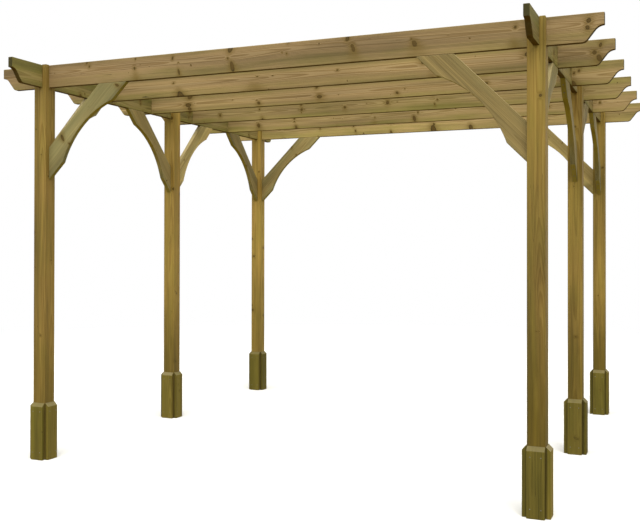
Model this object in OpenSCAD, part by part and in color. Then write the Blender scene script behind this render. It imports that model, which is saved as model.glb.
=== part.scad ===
// Open timber pergola: six notched posts, two side beams, six cross-halved
// rafters with scrolled ends, knee braces and boarded post feet.
// The origin is on the ground at the centre of the plan. Rafters run along X,
// side beams run along Y, and the front of the pergola faces -Y.

/* [Posts] */
// Side of a square post
post_w = 88; // [75:1:125]
// Height of a post, from the ground to the top of its horns
post_h = 2400; // [2000:10:3200]
// Spacing of the left and right posts, centre to centre
spacing_x = 2960; // [2000:10:4800]
// Spacing of the front and rear posts, centre to centre
spacing_y = 2960; // [2480:10:4800]

/* [Roof timbers] */
// Thickness of a beam or rafter
timber_t = 30; // [22:1:50]
// Depth of a beam or rafter
timber_d = 137; // [110:1:200]
// Height of the post horns above the tops of the timbers
horn_rise = 3; // [0:1:20]
// Length of a rafter past the centre of the left or right posts
overhang_x = 310; // [220:5:600]
// Length of a side beam past the centre of the front or rear posts
overhang_y = 310; // [220:5:600]

/* [Scrolled ends] */
// Height of the scroll above the underside
scroll_rise = 78; // [60:1:100]
// Radius of the hollow at the tip of the scroll
scroll_cove_r = 54; // [30:1:60]
// Angle of the slope between the hollow and the round
scroll_slope = 52; // [35:1:60]
// Radius of the round where the scroll meets the underside
scroll_round_r = 32; // [10:1:50]

/* [Braces] */
// Reach of a brace along the timber and down the post
brace_reach = 560; // [420:5:700]
// Width of the board that a brace is cut from
brace_w = 138; // [100:1:180]
// Thickness of a brace
brace_t = 30; // [22:1:50]
// Straight stretch of the inner edge at each end
brace_ear = 144; // [80:1:180]
// Depth of the scoop in the inner edge
brace_scoop = 57; // [20:1:80]

/* [Foot boards] */
// Height of a foot board
foot_h = 342; // [200:1:500]
// Thickness of a foot board
foot_t = 24; // [22:1:40]
// Chamfer along the top outer edge of a foot board
foot_chamfer = 21; // [4:1:21]
// Distance of a board's edges from the corners of the post
foot_inset = 1; // [0.5:0.5:10]

/* [Fits] */
// Clearance on each side of a timber in its slot or halving
slot_gap = 0.25; // [0.1:0.05:2]

/* [Hidden] */
$fn = 96;
FRONT = -1;
MIDDLE = 0;
REAR = 1;
LEFT = -1;
RIGHT = 1;
RAFTERS = 6;
// How far a cut runs past the face that it opens
PAST = 1;
// How far an arc stands proud of the straight line that runs on from it
BLEND = 0.1;

timber_z = post_h - horn_rise - timber_d;
halving_z = timber_z + timber_d / 2;
slot_w = timber_t + 2 * slot_gap;
rafter_l = spacing_x + 2 * overhang_x;
beam_l = spacing_y + 2 * overhang_y;
rafter_pitch = spacing_y / (RAFTERS - 1);

POST_COLOUR = [0.55, 0.45, 0.24];
FOOT_COLOUR = [0.42, 0.36, 0.15];
TIMBER_COLOUR = [0.62, 0.53, 0.38];
BRACE_COLOUR = [0.60, 0.50, 0.30];

// Places in plan: side is LEFT or RIGHT, row is FRONT, MIDDLE or REAR, and
// rafters are numbered from the front
function side_x(side) = side * spacing_x / 2;
function row_y(row) = row * spacing_y / 2;
function rafter_y(number) = (number - 1) * rafter_pitch - spacing_y / 2;

// ---- Shared shapes ----

// A block centred in plan on the origin, from height bottom to height top
module upright(x, y, bottom, top) {
    translate([-x / 2, -y / 2, bottom]) cube([x, y, top - bottom]);
}

// Puts its children at the place of one post
module at_post(row, side) {
    translate([side_x(side), row_y(row), 0]) children();
}

// What is cut away under a scrolled end: a hollow, a slope and a round, for a
// timber whose end is at x = 0 and whose underside is at y = 0
module scroll_waste() {
    out = [sin(scroll_slope), cos(scroll_slope)];
    hollow = [0, scroll_rise - scroll_cove_r];
    slope_top = hollow + (scroll_cove_r - BLEND) * out;
    corner_x = slope_top.x + slope_top.y / tan(scroll_slope);
    round_inset = scroll_round_r - BLEND;
    round = [corner_x + round_inset * tan(scroll_slope / 2), round_inset];
    translate(hollow) circle(r = scroll_cove_r);
    polygon([
        hollow, slope_top, [corner_x + PAST / tan(scroll_slope), -PAST],
        [-PAST, -PAST], [-PAST, hollow.y]
    ]);
    difference() {
        polygon([
            round - round_inset * out, [corner_x - PAST, -PAST],
            [round.x, -PAST], [round.x, 0]
        ]);
        translate(round) circle(r = scroll_round_r);
    }
}

// A roof timber along X with both ends scrolled, centred on the origin, with
// its underside at z = 0
module timber(length) {
    rotate([90, 0, 0])
        linear_extrude(height = timber_t, center = true)
            difference() {
                translate([-length / 2, 0]) square([length, timber_d]);
                translate([-length / 2, 0]) scroll_waste();
                mirror([1, 0]) translate([-length / 2, 0]) scroll_waste();
            }
}

// The side of a knee brace, with the corner of post and timber at the origin,
// the post's face along -y and the timber's underside along +x
module brace_side() {
    cut = brace_w * sqrt(2);
    chord = brace_reach * sqrt(2) - 2 * brace_ear;
    scoop_r = (chord ^ 2 / 4 + brace_scoop ^ 2) / (2 * brace_scoop);
    scoop_centre = brace_reach / 2 + (scoop_r - brace_scoop) / sqrt(2);
    difference() {
        polygon([
            [0, -brace_reach], [brace_reach, 0],
            [brace_reach - cut, 0], [0, cut - brace_reach]
        ]);
        translate([scoop_centre, -scoop_centre]) circle(r = scoop_r);
    }
}

// A knee brace that leaves the post's centre towards +X, turned by angle
module knee_brace(row, side, angle) {
    color(BRACE_COLOUR)
        at_post(row, side)
            rotate([0, 0, angle])
                translate([post_w / 2, 0, timber_z])
                    rotate([90, 0, 0])
                        linear_extrude(height = brace_t, center = true)
                            brace_side();
}

// ---- Sub-parts ----

// A post with a slot in its top for the side beam, and on the front and rear
// rows a second slot across it for the rafter
module post(row, side) {
    color(POST_COLOUR)
        at_post(row, side)
            difference() {
                upright(post_w, post_w, 0, post_h);
                upright(slot_w, post_w + 2 * PAST, timber_z, post_h + PAST);
                if (row != MIDDLE)
                    upright(post_w + 2 * PAST, slot_w, timber_z, post_h + PAST);
            }
}

// Four boards round the foot of a post, each chamfered along its top outer edge
module foot_boards(row, side) {
    width = post_w - 2 * foot_inset;
    color(FOOT_COLOUR)
        at_post(row, side)
            for (angle = [0 : 90 : 270])
                rotate([0, 0, angle])
                    translate([post_w / 2, width / 2, 0])
                        rotate([90, 0, 0])
                            linear_extrude(height = width)
                                polygon([
                                    [0, 0], [foot_t, 0],
                                    [foot_t, foot_h - foot_chamfer],
                                    [foot_t - foot_chamfer, foot_h],
                                    [0, foot_h]
                                ]);
}

// A side beam, halved from above where the rafters cross it
module side_beam(side) {
    color(TIMBER_COLOUR)
        difference() {
            translate([side_x(side), 0, timber_z])
                rotate([0, 0, 90]) timber(beam_l);
            for (number = [1 : RAFTERS])
                translate([side_x(side), rafter_y(number), 0])
                    upright(
                        timber_t + 2 * PAST, slot_w, halving_z, post_h + PAST
                    );
        }
}

// A rafter, halved from below where it crosses the side beams
module rafter(number) {
    color(TIMBER_COLOUR)
        difference() {
            translate([0, rafter_y(number), timber_z]) timber(rafter_l);
            for (side = [LEFT, RIGHT])
                translate([side_x(side), rafter_y(number), 0])
                    upright(
                        slot_w, timber_t + 2 * PAST, timber_z - PAST, halving_z
                    );
        }
}

// A brace from a corner post to the rafter over it
module brace_to_rafter(row, side) {
    knee_brace(row, side, side == LEFT ? 0 : 180);
}

// A brace from a post to the side beam, towards the front or the rear
module brace_to_beam(row, side, towards) {
    knee_brace(row, side, towards * 90);
}

post(FRONT, LEFT);  // post_front_left
post(FRONT, RIGHT);  // post_front_right
post(MIDDLE, LEFT);  // post_middle_left
post(MIDDLE, RIGHT);  // post_middle_right
post(REAR, LEFT);  // post_rear_left
post(REAR, RIGHT);  // post_rear_right

foot_boards(FRONT, LEFT);  // foot_boards_front_left
foot_boards(FRONT, RIGHT);  // foot_boards_front_right
foot_boards(MIDDLE, LEFT);  // foot_boards_middle_left
foot_boards(MIDDLE, RIGHT);  // foot_boards_middle_right
foot_boards(REAR, LEFT);  // foot_boards_rear_left
foot_boards(REAR, RIGHT);  // foot_boards_rear_right

side_beam(LEFT);  // side_beam_left
side_beam(RIGHT);  // side_beam_right
rafter(1);  // rafter_1
rafter(2);  // rafter_2
rafter(3);  // rafter_3
rafter(4);  // rafter_4
rafter(5);  // rafter_5
rafter(6);  // rafter_6

brace_to_rafter(FRONT, LEFT);  // brace_front_left_rafter
brace_to_rafter(FRONT, RIGHT);  // brace_front_right_rafter
brace_to_rafter(REAR, LEFT);  // brace_rear_left_rafter
brace_to_rafter(REAR, RIGHT);  // brace_rear_right_rafter
brace_to_beam(FRONT, LEFT, REAR);  // brace_front_left_beam
brace_to_beam(FRONT, RIGHT, REAR);  // brace_front_right_beam
brace_to_beam(REAR, LEFT, FRONT);  // brace_rear_left_beam
brace_to_beam(REAR, RIGHT, FRONT);  // brace_rear_right_beam
brace_to_beam(MIDDLE, LEFT, FRONT);  // brace_middle_left_front
brace_to_beam(MIDDLE, RIGHT, FRONT);  // brace_middle_right_front
brace_to_beam(MIDDLE, LEFT, REAR);  // brace_middle_left_rear
brace_to_beam(MIDDLE, RIGHT, REAR);  // brace_middle_right_rear
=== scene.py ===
"""The look of an open timber pergola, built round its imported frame.

Every timber is made again as an eased, planed or sawn stick with its own place in
its own log, so that growth rings, grain and knots run through it as in real wood.
The fixings are set by Geometry Nodes. A pale floor, soft light and a camera finish
the scene. All sizes are in metres, in the row frame: the origin is on the ground at
the centre of the plan, rafters run along X and side beams along Y.
"""

from __future__ import annotations

import logging
import math
import random
from dataclasses import dataclass, field, replace
from enum import Enum
from itertools import product
from typing import Callable, Iterable, Mapping, Sequence, Union

import bmesh
import bpy
from mathutils import Matrix, Vector

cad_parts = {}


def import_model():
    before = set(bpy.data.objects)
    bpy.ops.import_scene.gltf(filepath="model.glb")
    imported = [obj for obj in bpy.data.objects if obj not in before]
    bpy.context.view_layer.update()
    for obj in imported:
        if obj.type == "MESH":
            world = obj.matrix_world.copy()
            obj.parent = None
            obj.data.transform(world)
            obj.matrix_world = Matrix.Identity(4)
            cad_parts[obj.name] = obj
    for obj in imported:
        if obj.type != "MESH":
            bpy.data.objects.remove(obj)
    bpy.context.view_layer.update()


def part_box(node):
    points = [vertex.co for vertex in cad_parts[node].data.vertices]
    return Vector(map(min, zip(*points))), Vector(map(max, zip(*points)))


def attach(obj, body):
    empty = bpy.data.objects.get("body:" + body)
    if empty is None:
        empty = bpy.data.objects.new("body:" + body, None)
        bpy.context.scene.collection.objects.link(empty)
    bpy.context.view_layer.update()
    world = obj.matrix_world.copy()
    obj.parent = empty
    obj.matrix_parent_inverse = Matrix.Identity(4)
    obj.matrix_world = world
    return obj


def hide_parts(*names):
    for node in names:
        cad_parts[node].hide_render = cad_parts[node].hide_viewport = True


LOG = logging.getLogger("pergola")
BODY = "root"
ROWS = ("front", "middle", "rear")
SIDES = ("left", "right")
X_AXIS, Y_AXIS, Z_AXIS = Vector((1, 0, 0)), Vector((0, 1, 0)), Vector((0, 0, 1))
QUARTER_TURN = math.radians(90)
HAIR = 1e-5  # Two places nearer than this are one.
Colour = tuple[float, float, float]
Point2 = tuple[float, float]
Aim = tuple[Vector, Vector]  # Where a fixing goes in, and which way its head faces.
Test = Callable[[Vector], bool]


def add_object(name: str, data: bpy.types.ID) -> bpy.types.Object:
    """Adds an object to the scene."""
    new = bpy.data.objects.new(name, data)
    bpy.context.scene.collection.objects.link(new)
    return new


def mesh_from(body: bmesh.types.BMesh, name: str) -> bpy.types.Mesh:
    """Turns a body into a named mesh, and frees it."""
    mesh = bpy.data.meshes.new(name)
    body.to_mesh(mesh)
    body.free()
    return mesh


# ---------------------------------------------------------------- shader maths


def srgb(red: int, green: int, blue: int) -> Colour:
    """Turns an 8-bit display colour into a linear one.

    Args:
        red: Red, 0 to 255.
        green: Green, 0 to 255.
        blue: Blue, 0 to 255.

    Returns:
        The linear colour.
    """

    def linear(value: int) -> float:
        """One channel, by the display standard's curve."""
        share = value / 255
        return share / 12.92 if share <= 0.04045 else ((share + 0.055) / 1.055) ** 2.4

    return linear(red), linear(green), linear(blue)


class Signal:
    """A number that varies over a surface, with Python's operators as Math nodes."""

    def __init__(self, tree: "Tree", socket: bpy.types.NodeSocket) -> None:
        """Wraps an output socket."""
        self.tree = tree
        self.socket = socket

    def math(self, operation: str, *others: "Value", swap: bool = False) -> "Signal":
        """Adds one Math node.

        Args:
            operation: The node's operation.
            others: The operands after this one.
            swap: Puts this signal after the first of the others.

        Returns:
            The node's result.
        """
        operands: list[Value] = [self, *others]
        if swap:
            operands[0], operands[1] = operands[1], operands[0]
        node = self.tree.node("ShaderNodeMath", dict(enumerate(operands)), operation=operation)
        return Signal(self.tree, node.outputs[0])

    def __add__(self, other: "Value") -> "Signal":
        """self + other."""
        return self.math("ADD", other)

    def __sub__(self, other: "Value") -> "Signal":
        """self - other."""
        return self.math("SUBTRACT", other)

    def __rsub__(self, other: "Value") -> "Signal":
        """other - self."""
        return self.math("SUBTRACT", other, swap=True)

    def __mul__(self, other: "Value") -> "Signal":
        """self * other."""
        return self.math("MULTIPLY", other)

    def __truediv__(self, other: "Value") -> "Signal":
        """self / other."""
        return self.math("DIVIDE", other)

    def __pow__(self, other: "Value") -> "Signal":
        """self ** other."""
        return self.math("POWER", other)

    def __abs__(self) -> "Signal":
        """The size of the number, without its sign."""
        return self.math("ABSOLUTE")

    def __neg__(self) -> "Signal":
        """The number with its sign turned."""
        return self.math("MULTIPLY", -1.0)

    __radd__ = __add__
    __rmul__ = __mul__

    def root(self) -> "Signal":
        """The square root."""
        return self.math("SQRT")

    def fraction(self) -> "Signal":
        """What is left after the whole number is taken off."""
        return self.math("FRACT")

    def lowest(self, other: "Value") -> "Signal":
        """The lower of two numbers."""
        return self.math("MINIMUM", other)

    def highest(self, other: "Value") -> "Signal":
        """The higher of two numbers."""
        return self.math("MAXIMUM", other)

    def ease(self, low: "Value", high: "Value") -> "Signal":
        """A smooth step.

        Args:
            low: Where the step begins, at 0.
            high: Where it ends, at 1. It may be the lower number.

        Returns:
            The step, from 0 to 1.
        """
        step = self.tree.node(
            "ShaderNodeMapRange", {0: self, 1: low, 2: high}, interpolation_type="SMOOTHSTEP"
        )
        return Signal(self.tree, step.outputs[0])

    def bell(self, width: float) -> "Signal":
        """A bell that is 1 where the number is 0, and falls off over the width."""
        share = self / width
        return (share * share * -1.0).math("EXPONENT")


Value = Union[float, Signal]
Paint = Union[Colour, bpy.types.NodeSocket]


class Tree:
    """A node tree of any kind, and what all kinds share."""

    def __init__(self, tree: bpy.types.NodeTree) -> None:
        """Takes a tree, and empties it."""
        self.tree = tree
        self.tree.nodes.clear()

    def node(
        self, kind: str, inputs: Mapping[int | str, object] | None = None, **settings: object
    ) -> bpy.types.Node:
        """Adds any node.

        Args:
            kind: The node's type.
            inputs: What its sockets take, by number or name: a number, a tuple, a
                signal or an output socket.
            settings: Its properties, which are set first.

        Returns:
            The new node.
        """
        node = self.tree.nodes.new(kind)
        for name, setting in settings.items():
            setattr(node, name, setting)
        for key, given in (inputs or {}).items():
            socket = node.inputs[key]
            if isinstance(given, Signal):
                self.tree.links.new(given.socket, socket)
            elif isinstance(given, bpy.types.NodeSocket):
                self.tree.links.new(given, socket)
            elif isinstance(given, tuple) and socket.type == "RGBA":
                socket.default_value = (*given[:3], 1.0)
            else:
                socket.default_value = given
        return node

    def split(self, vector: bpy.types.NodeSocket) -> tuple[Signal, Signal, Signal]:
        """A vector's three numbers."""
        node = self.node("ShaderNodeSeparateXYZ", {0: vector})
        return tuple(Signal(self, out) for out in node.outputs)

    def join(self, x: Value, y: Value, z: Value) -> bpy.types.NodeSocket:
        """A vector of three numbers."""
        return self.node("ShaderNodeCombineXYZ", {0: x, 1: y, 2: z}).outputs[0]


class Shader(Tree):
    """The node tree of a material or of the world."""

    def __init__(self, owner: bpy.types.Material | bpy.types.World) -> None:
        """Starts the tree of a new material or world."""
        self.owner = owner
        owner.use_nodes = True
        super().__init__(owner.node_tree)

    @property
    def place(self) -> bpy.types.NodeSocket:
        """Place in the pergola, in metres."""
        return self.node("ShaderNodeTexCoord").outputs["Object"]

    def attribute(self, name: str) -> bpy.types.Node:
        """Reads one of the piece's own attributes."""
        return self.node("ShaderNodeAttribute", attribute_name=name)

    def cloud(
        self, vector: bpy.types.NodeSocket, detail: float, roughness: float
    ) -> bpy.types.Node:
        """A noise node of one cell to each unit."""
        given = {"Vector": vector, "Scale": 1.0, "Detail": detail, "Roughness": roughness}
        return self.node("ShaderNodeTexNoise", given)

    def noise(
        self, vector: bpy.types.NodeSocket, detail: float = 2.0, roughness: float = 0.5
    ) -> Signal:
        """Soft noise, about 0.5 on average.

        Args:
            vector: The place to read it at, already scaled.
            detail: How many finer layers it has.
            roughness: How strong the finer layers are.

        Returns:
            The noise, from 0 to 1.
        """
        return Signal(self, self.cloud(vector, detail, roughness).outputs[0])

    def blend(self, share: Value, first: Paint, second: Paint) -> bpy.types.NodeSocket:
        """Mixes two colours.

        Args:
            share: The share of the second colour.
            first: A colour, as a tuple or a socket.
            second: A colour, as a tuple or a socket.

        Returns:
            The mixed colour.
        """
        node = self.node("ShaderNodeMix", {0: share, 6: first, 7: second}, data_type="RGBA")
        return node.outputs[2]

    def shade(self, colour: Paint, share: Value) -> bpy.types.NodeSocket:
        """Multiplies a colour by a number."""
        both = {0: colour, 1: self.join(share, share, share)}
        return self.node("ShaderNodeVectorMath", both, operation="MULTIPLY").outputs[0]

    def finish(
        self, colour: Paint, roughness: Value, height: Signal, depth: float, metallic: float = 0.0
    ) -> bpy.types.Material:
        """Ends the tree in a plain surface with bump.

        Args:
            colour: The base colour.
            roughness: The roughness.
            height: The relief, in units of depth.
            depth: What a height of 1 stands for, in metres.
            metallic: 1 for bare metal and 0 for anything else.

        Returns:
            The material.
        """
        bump = self.node("ShaderNodeBump", {"Strength": 1.0, "Distance": depth, "Height": height})
        surface = self.node(
            "ShaderNodeBsdfPrincipled",
            {
                "Base Color": colour,
                "Roughness": roughness,
                "Metallic": metallic,
                "IOR": 1.45,
                "Specular IOR Level": 0.25,
                "Normal": bump.outputs[0],
            },
        )
        self.node("ShaderNodeOutputMaterial", {"Surface": surface.outputs[0]})
        return self.owner


# ---------------------------------------------------------------- finishes


@dataclass(frozen=True)
class Whorls:
    """Branches that leave the pith in rings, and so the knots in a board.

    Attributes:
        pitch: Distance from one ring of branches to the next, along the log.
        branches: Branches in one ring.
        thin: Radius of a branch at the pith.
        flare: How much the radius grows with each metre out from the pith.
        climb: How far a branch climbs with each metre out from the pith.
        wander: How far a ring of branches may stray from its place.
        seed: Picks the branches.
    """

    pitch: float
    branches: int
    thin: float
    flare: float
    climb: float
    wander: float
    seed: float

    FAR = 9.0  # Further from a branch than anything can show, in its radii.
    PITH = 0.004  # Width of the pith, where a branch begins.

    def nearest(self, tree: Shader, along: Signal, across: Signal, up: Signal) -> Signal:
        """Finds how near the nearest branch is.

        Args:
            tree: The material's tree.
            along: Distance along the log.
            across: First distance from the pith.
            up: Second distance from the pith.

        Returns:
            Distance from the branch's axis, in radii of the branch there.
        """
        ring = (along / self.pitch).math("ROUND")
        nearest: Value = self.FAR
        for number in range(self.branches):
            key = tree.join(ring, self.seed + number, 0.0)
            draw = tree.node("ShaderNodeTexWhiteNoise", {"Vector": key}, noise_dimensions="2D")
            turn, stray, size = tree.split(draw.outputs["Color"])
            angle = (turn + number) * (math.tau / self.branches)
            east, north = angle.math("COSINE"), angle.math("SINE")
            out = across * east + up * north
            aside = across * north - up * east
            height = along - ring * self.pitch - (stray - 0.5) * self.wander
            off = height - out * self.climb
            radius = (out.highest(0.0) * self.flare + self.thin) * (size * size * 1.3 + 0.4)
            reach = (aside * aside + off * off).root() / radius
            behind = out.ease(0.0, -self.PITH) * self.FAR
            nearest = (reach + behind).lowest(nearest)
        return nearest


@dataclass(frozen=True)
class Pattern:
    """A noise pattern that is drawn out along the log.

    Attributes:
        along: Cells to the metre along the log.
        across: Cells to the metre across it.
        detail: How many finer layers it has.
        roughness: How strong the finer layers are.
    """

    along: float
    across: float
    detail: float = 2.0
    roughness: float = 0.5

    def over(self, tree: Shader, along: Signal, across: Signal, up: Signal) -> Signal:
        """Reads the pattern at a place in the log."""
        place = tree.join(along * self.along, across * self.across, up * self.across)
        return tree.noise(place, self.detail, self.roughness)


class Grain:
    """The wood behind a surface: where it lay in its log, and what grew there.

    Each field is a signal: the rings' late wood, three sizes of fibre, how near the
    nearest knot and pin knot are, drying checks, and the patterns of stain and grime.
    """

    STRAY = 0.045  # How far the pith wanders, and how slowly, to the metre.
    STRAY_ALONG, STRAY_ACROSS = 0.9, 2.0
    TAPER = 0.006  # How much the rings widen with each metre up the log.
    RIPPLE = 0.006  # How far the rings ripple.
    SWING, SWING_RATE = 1.6, 55.0  # How far, in rings, their spacing drifts, and how fast.
    KNOT_PUSH, PIN_PUSH = 0.006, 0.002  # How far knots and pin knots push the rings aside.
    KNOT_REACH, PIN_REACH = 2.5, 2.4  # How far from them that reaches, in their radii.
    RISE, FALL = (0.25, 0.82), (1.0, 0.93)  # Where late wood grows and stops in each ring.
    SPOKES = 3.1  # How many planes through the pith may crack.
    CRACK = (0.055, 0.02)  # Where a check's lips and its depth lie.

    RIPPLES = Pattern(2.2, 28.0)
    FIBRES = Pattern(7.0, 420.0, 3.0, 0.6)
    STREAKS = Pattern(1.6, 75.0, 3.0, 0.55)
    BANDS = Pattern(0.7, 14.0)
    BLOTCHES = Pattern(2.4, 11.0, 3.0, 0.6)
    PATCHES = Pattern(1.1, 5.0)
    CRACKED = Pattern(1.3, 9.0, 1.0)
    GRIME = Pattern(5.0, 30.0, 4.0, 0.65)
    TEETH = Pattern(170.0, 7.0, 2.0, 0.6)

    def __init__(self, tree: Shader, finish: "WoodFinish") -> None:
        """Works the wood out, by the size of the finish's rings and its branches."""
        along, across, up = tree.split(tree.attribute("log").outputs["Vector"])

        # The pith wanders, the rings widen and narrow, and branches push them aside.
        slow = tree.join(
            along * self.STRAY_ALONG, across * self.STRAY_ACROSS, up * self.STRAY_ACROSS
        )
        shift_a, shift_b, shift_c = tree.split(tree.cloud(slow, 1.0, 0.5).outputs["Color"])
        across = across + (shift_a - 0.5) * self.STRAY
        up = up + (shift_b - 0.5) * self.STRAY
        place = (along, across, up)
        self.knot = finish.whorls.nearest(tree, *place)
        self.pin = finish.pins.nearest(tree, *place)
        push = self.knot.bell(self.KNOT_REACH) * self.KNOT_PUSH
        push = push + self.pin.bell(self.PIN_REACH) * self.PIN_PUSH
        self.radius = (across * across + up * up).root()
        ripple = (self.RIPPLES.over(tree, *place) - 0.5) * self.RIPPLE
        grown = self.radius + push + along * self.TAPER + ripple
        swing = tree.noise(tree.join(grown * self.SWING_RATE, 0.0, shift_c), 1.0)
        season = (grown / finish.ring + swing * self.SWING).fraction()
        self.late = season.ease(*self.RISE) * season.ease(*self.FALL)

        # Fibres run along the log and bend round the knots with the rings.
        bent = (along, across + push, up + push)
        self.fine, self.middle, self.broad = (
            pattern.over(tree, *bent) for pattern in (self.FIBRES, self.STREAKS, self.BANDS)
        )
        self.blotch, self.patch, self.grime, self.teeth = (
            pattern.over(tree, *place)
            for pattern in (self.BLOTCHES, self.PATCHES, self.GRIME, self.TEETH)
        )

        # Drying opens checks in planes through the pith.
        core = self.radius + 0.001
        spoke = tree.join(across / core * self.SPOKES, up / core * self.SPOKES, along * 0.55)
        plane = abs(tree.noise(spoke, 1.0) - 0.5)
        opened = self.CRACKED.over(tree, *place).ease(0.56, 0.68)
        self.check = (plane / (self.radius + 0.004)).ease(*self.CRACK) * opened


@dataclass(frozen=True)
class WoodFinish:
    """Pressure-treated softwood, seen through the log that it was cut from.

    Attributes:
        name: Name of the material.
        early: Colour of the soft wood of spring, untreated.
        late: Colour of the hard wood at the end of each ring.
        treated: Colour that the treatment gives to sapwood.
        shaded: Painted shade and bounce light on faces that look down.
        damp: Colour that the damp gives to wood near the ground.
        ring: Width of a growth ring.
        contrast: How dark the late wood is, from 0 to 1.
        treatment: How green the sapwood is, from 0 to 1.
        stain: How strong damp and algae stains are, from 0 to 1.
        sawn: Depth of saw marks, from 0, planed, to 1, rough.
        whorls: The branches.
        pins: Small branches between them.
        heart_radius: Radius of the heartwood, which the treatment doesn't reach.
        knot: Colour of a knot's heart.
        bark: Colour of the bark round a knot.
        resin: Colour of the wood about a knot.
        shade_and_grime: Painted shade inside a drying check, and painted shade
            with grime in the gap of a corner.
        cut_end: Colour of a cut across the grain.
        top_light_and_bleach: Painted top light and sun bleaching on faces that look up.
        damp_height: Heights at which the damp fades out and is full.
        relief: Depth of the grain's relief, in metres.
    """

    name: str
    early: Colour
    late: Colour
    treated: Colour
    shaded: Colour
    damp: Colour
    ring: float
    contrast: float
    treatment: float
    stain: float
    sawn: float
    whorls: Whorls
    pins: Whorls
    heart_radius: float = 0.045
    knot: Colour = srgb(94, 72, 22)
    bark: Colour = srgb(56, 43, 11)
    resin: Colour = srgb(112, 90, 34)
    # Painted shade in drying checks and corner gaps, with grime.
    shade_and_grime: Colour = srgb(38, 28, 14)
    cut_end: Colour = srgb(58, 54, 22)
    # Painted top light, with sun bleaching.
    top_light_and_bleach: Colour = srgb(196, 180, 132)
    damp_height: Point2 = (1.15, 0.4)
    relief: float = 0.0007

    def material(self) -> bpy.types.Material:
        """Builds the material.

        Returns:
            The material, whose tree reads the piece's own attributes: "log", the place
            in the log; "face", the share of end grain, the upward look, which sets painted
            shade on faces that look down and painted top light on those that look up, and
            the tone; "sap", how treated it is; and "corner", how much painted shade and
            grime it holds.
        """
        tree = Shader(bpy.data.materials.new(self.name))
        grain = Grain(tree, self)
        end, upward, tone = tree.split(tree.attribute("face").outputs["Vector"])
        sap = Signal(tree, tree.attribute("sap").outputs["Fac"])
        corner = Signal(tree, tree.attribute("corner").outputs["Fac"])
        streak = (grain.fine - 0.5) * 0.4 + (grain.middle - 0.5) * 0.8 + 1.0
        streak = streak + (grain.broad - 0.5) + (grain.patch - 0.5) * 0.9
        # Share of painted shade on faces that look down.
        under = upward.ease(-0.35, -0.9) * 0.9

        colour = self._clear_wood(tree, grain, sap)
        colour = tree.shade(colour, streak * ((tone - 0.5) * 0.3 + 1.0))
        ragged = grain.knot + (grain.middle - 0.5) * 0.5 + (grain.fine - 0.5) * 0.35
        knot = ragged.ease(1.12, 0.82).highest(grain.pin.ease(1.1, 0.8))
        rim = (ragged - 0.95).bell(0.16)
        colour = self._knots(tree, grain, colour, ragged, knot, rim)
        # Painted shade inside drying checks.
        colour = tree.blend(grain.check * 0.75, colour, self.shade_and_grime)
        colour = self._ends_and_painted_light(tree, grain, colour, end, under, upward)
        height = tree.split(tree.place)[2] + (grain.grime - 0.5) * 0.5
        thirst = (sap * 0.9 + 0.35).lowest(1.0)
        damp = height.ease(*self.damp_height) * thirst * self.stain
        colour = tree.blend(damp, colour, tree.shade(self.damp, streak))
        # Painted shade, with grime, where a foot board meets its post.
        gap_shade_and_grime = corner**3.0 * (grain.grime * 0.5 + 0.5)
        colour = tree.blend(gap_shade_and_grime.lowest(0.9), colour, self.shade_and_grime)

        # Late wood stands proud, and fibres, saw marks and checks are cut in.
        depth = grain.late * 0.35 + grain.fine * (0.5 + self.sawn * 0.6) + grain.middle * 0.3
        depth = depth + (grain.teeth - 0.5) * self.sawn
        depth = depth + knot * 0.35 - grain.check * 2.2 - rim * 0.3
        roughness = 0.66 + (grain.fine - 0.5) * 0.2 + grain.late * 0.06 - knot * 0.12
        return tree.finish(colour, roughness + under * 0.12, depth, self.relief)

    def _clear_wood(self, tree: Shader, grain: Grain, sap: Signal) -> bpy.types.NodeSocket:
        """Colours the rings: sapwood takes the treatment, heartwood keeps its own colour."""
        edge = grain.radius + (grain.broad - 0.5) * 0.03
        heart = edge.ease(self.heart_radius + 0.012, self.heart_radius - 0.012)
        reached = 1.0 - heart * (0.75 - sap * 0.2)
        green = reached * (grain.blotch.ease(0.3, 0.7) * 0.6 + 0.25 + sap * 0.35) * self.treatment
        colour = tree.blend(grain.late * self.contrast, self.early, self.late)
        dyed = tree.shade(self.treated, 1.0 - grain.late * self.contrast * 0.35)
        return tree.blend(green.lowest(1.0), colour, dyed)

    def _knots(
        self,
        tree: Shader,
        grain: Grain,
        colour: bpy.types.NodeSocket,
        ragged: Signal,
        knot: Signal,
        rim: Signal,
    ) -> bpy.types.NodeSocket:
        """Colours the knots: resin darkens the wood about one, and bark rings it."""
        halo = ragged.highest(0.0).bell(2.5)
        colour = tree.blend(halo * 0.8, colour, self.resin)
        growth = (grain.knot * 5.0 + grain.middle * 2.0).fraction() * 0.5 + 0.6
        colour = tree.blend(knot * 0.9, colour, tree.shade(self.knot, growth))
        return tree.blend(rim * (grain.broad.ease(0.35, 0.6) * 0.6 + 0.3), colour, self.bark)

    def _ends_and_painted_light(
        self,
        tree: Shader,
        grain: Grain,
        colour: bpy.types.NodeSocket,
        end: Signal,
        under: Signal,
        upward: Signal,
    ) -> bpy.types.NodeSocket:
        """Dirties cut ends, paints shade on faces that look down, and paints top light and sun
        bleaching on faces that look up.
        """
        dirty = tree.shade(self.cut_end, grain.grime * 0.7 + 0.3 + grain.late * 0.35)
        colour = tree.blend(end.ease(0.25, 0.8) * 0.85, colour, dirty)
        # Painted shade and bounce light on faces that look down.
        colour = tree.blend(under, colour, tree.shade(self.shaded, grain.grime * 0.8 + 0.5))
        # Painted top light, with sun bleaching, on faces that look up.
        return tree.blend(upward.ease(0.3, 0.85) * 0.5, colour, self.top_light_and_bleach)


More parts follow.
